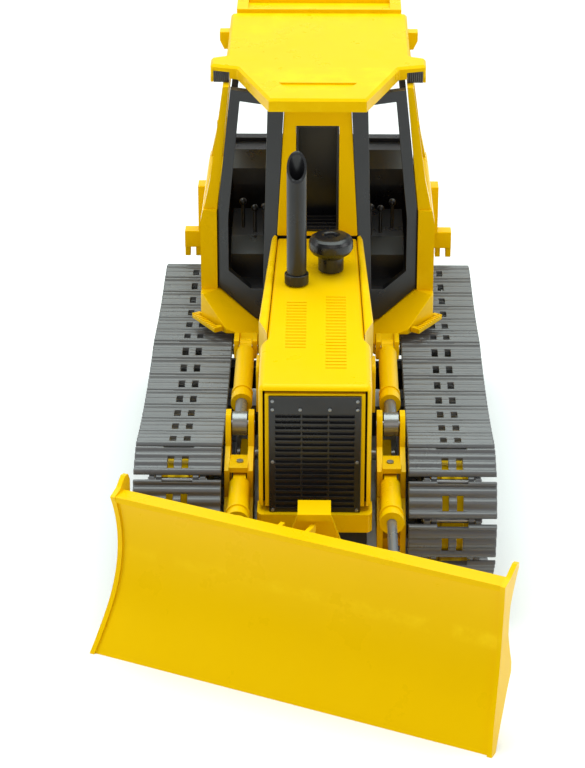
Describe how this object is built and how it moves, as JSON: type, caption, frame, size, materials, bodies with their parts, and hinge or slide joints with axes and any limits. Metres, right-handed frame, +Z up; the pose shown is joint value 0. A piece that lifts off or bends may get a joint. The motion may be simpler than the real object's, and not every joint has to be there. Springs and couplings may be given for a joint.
{
  "type": "toy bulldozer",
  "caption": "Toy track-type dozer with a cab, tapered hood, sagging link tracks and an angled curved blade on a lifting push frame",
  "frame": {"origin": "middle of the outline in plan, on the ground, with the blade in its rest place", "axes": "+Z up, front of the machine toward -Y, +X to the viewer's right when facing its front from -Y"},
  "size_m": [0.1878, 0.3943, 0.2201],
  "materials": {
    "yellow_gloss": "glossy moulded",
    "black_satin": "satin moulded",
    "track_grey": "satin moulded",
    "dark_frame": "matt moulded",
    "silver_rod": "satin metallic plastic",
    "lens_grey": "ribbed lens",
    "pin_steel": "drawn steel"
  },
  "bodies": {
    "root": {"cab_base": "yellow_gloss", "cab_interior": "black_satin", "cab_rear_wall": "black_satin", "cab_sides": "yellow_gloss", "carrier_rollers": "dark_frame", "chassis_pivot_pins": "pin_steel", "chassis_tub": "dark_frame", "control_levers": "black_satin", "corner_window_frames": "black_satin", "cross_beams": "dark_frame", "exhaust_collar": "black_satin", "exhaust_stack": "black_satin", "fender_steps": "yellow_gloss", "grille_panel": "black_satin", "grille_screws": "silver_rod", "hitch_pin": "pin_steel", "hood_rails": "yellow_gloss", "hood_shell": "yellow_gloss", "hood_side_brackets": "yellow_gloss", "lift_clevises": "yellow_gloss", "operator_seat": "black_satin", "precleaner_bowl": "black_satin", "precleaner_neck": "black_satin", "radiator_lip": "yellow_gloss", "rear_clips": "yellow_gloss", "rear_hitch": "black_satin", "rear_tank": "yellow_gloss", "road_rollers": "dark_frame", "roller_pins": "pin_steel", "roof_canopy": "yellow_gloss", "roof_ears": "yellow_gloss", "roof_lamp_lenses": "lens_grey", "tank_filler_cap": "yellow_gloss", "track_frames": "dark_frame", "track_links_left": "track_grey", "track_links_right": "track_grey", "track_pins": "pin_steel", "wheel_axles": "pin_steel", "windscreen_liner": "black_satin", "windscreen_panel": "yellow_gloss"},
    "push_frame": {"push_frame": "yellow_gloss", "lift_levers": "yellow_gloss", "lever_pins": "pin_steel", "centre_tower": "yellow_gloss", "blade_pivot_pin": "pin_steel"},
    "blade": {"blade": "yellow_gloss", "blade_carrier": "yellow_gloss", "blade_lug_pins": "pin_steel"},
    "lift_barrel_right": {"lift_cylinder_barrel_right": "yellow_gloss"},
    "lift_rod_right": {"lift_cylinder_rod_right": "silver_rod"},
    "angle_barrel_right": {"angle_cylinder_barrel_right": "yellow_gloss"},
    "angle_rod_right": {"angle_cylinder_rod_right": "silver_rod"},
    "sprocket_right": {"drive_sprocket_right": "dark_frame"},
    "idler_right": {"front_idler_right": "yellow_gloss"},
    "lift_barrel_left": {"lift_cylinder_barrel_left": "yellow_gloss"},
    "lift_rod_left": {"lift_cylinder_rod_left": "silver_rod"},
    "angle_barrel_left": {"angle_cylinder_barrel_left": "yellow_gloss"},
    "angle_rod_left": {"angle_cylinder_rod_left": "silver_rod"},
    "sprocket_left": {"drive_sprocket_left": "dark_frame"},
    "idler_left": {"front_idler_left": "yellow_gloss"}
  },
  "joints": [
    {"name": "push_frame_lift", "type": "hinge", "parent": "root", "child": "push_frame", "pos_m": [0.00766, 0.03132, 0.028], "axis": [-1, 0, 0], "range_deg": [0, 15]},
    {"name": "blade_yaw", "type": "hinge", "parent": "push_frame", "child": "blade", "pos_m": [0.00766, -0.12818, 0.033], "axis": [0, 0, 1], "range_deg": [0, 49.5]},
    {"name": "lift_barrel_right_tilt", "type": "hinge", "parent": "root", "child": "lift_barrel_right", "pos_m": [0.04286, 0.04432, 0.081], "axis": [-1, 0, 0], "range_deg": [0, 13.34]},
    {"name": "lift_rod_right_slide", "type": "slide", "parent": "lift_barrel_right", "child": "lift_rod_right", "axis": [0, 0.9999, 0.0118], "range_m": [0, 0.01413]},
    {"name": "angle_barrel_right_turn", "type": "hinge", "parent": "push_frame", "child": "angle_barrel_right", "pos_m": [0.04226, -0.06068, 0.062], "axis": [0, 0, 1], "range_deg": [0, 2.31]},
    {"name": "angle_rod_right_slide", "type": "slide", "parent": "angle_barrel_right", "child": "angle_rod_right", "axis": [0.0011, 1, 0], "range_m": [0, 0.03242]},
    {"name": "sprocket_right_spin", "type": "hinge", "parent": "root", "child": "sprocket_right", "pos_m": [0.07016, 0.16032, 0.038], "axis": [1, 0, 0], "continuous": true},
    {"name": "idler_right_spin", "type": "hinge", "parent": "root", "child": "idler_right", "pos_m": [0.07016, -0.06068, 0.0465], "axis": [1, 0, 0], "continuous": true},
    {"name": "lift_barrel_left_tilt", "type": "hinge", "parent": "root", "child": "lift_barrel_left", "pos_m": [-0.02754, 0.04432, 0.081], "axis": [-1, 0, 0], "range_deg": [0, 13.34]},
    {"name": "lift_rod_left_slide", "type": "slide", "parent": "lift_barrel_left", "child": "lift_rod_left", "axis": [0, 0.9999, 0.0118], "range_m": [0, 0.01413]},
    {"name": "angle_barrel_left_turn", "type": "hinge", "parent": "push_frame", "child": "angle_barrel_left", "pos_m": [-0.02694, -0.06068, 0.062], "axis": [0, 0, 1], "range_deg": [-1.74, 0]},
    {"name": "angle_rod_left_slide", "type": "slide", "parent": "angle_barrel_left", "child": "angle_rod_left", "axis": [0.0018, -1, 0], "range_m": [0, 0.03115]},
    {"name": "sprocket_left_spin", "type": "hinge", "parent": "root", "child": "sprocket_left", "pos_m": [-0.05484, 0.16032, 0.038], "axis": [1, 0, 0], "continuous": true},
    {"name": "idler_left_spin", "type": "hinge", "parent": "root", "child": "idler_left", "pos_m": [-0.05484, -0.06068, 0.0465], "axis": [1, 0, 0], "continuous": true}
  ],
  "couplings": [
    {"joint": "lift_barrel_right_tilt", "follows": "push_frame_lift", "ratio": 0.8886},
    {"joint": "lift_rod_right_slide", "follows": "push_frame_lift", "m_per_rad": 0.053935},
    {"joint": "angle_barrel_right_turn", "follows": "blade_yaw", "ratio": 0.0465},
    {"joint": "angle_rod_right_slide", "follows": "blade_yaw", "m_per_rad": 0.037517},
    {"joint": "idler_right_spin", "follows": "sprocket_right_spin", "ratio": 1.1786},
    {"joint": "lift_barrel_left_tilt", "follows": "push_frame_lift", "ratio": 0.8886},
    {"joint": "lift_rod_left_slide", "follows": "push_frame_lift", "m_per_rad": 0.053935},
    {"joint": "angle_barrel_left_turn", "follows": "blade_yaw", "ratio": -0.035},
    {"joint": "angle_rod_left_slide", "follows": "blade_yaw", "m_per_rad": 0.03605},
    {"joint": "idler_left_spin", "follows": "sprocket_left_spin", "ratio": 1.1786}
  ]
}
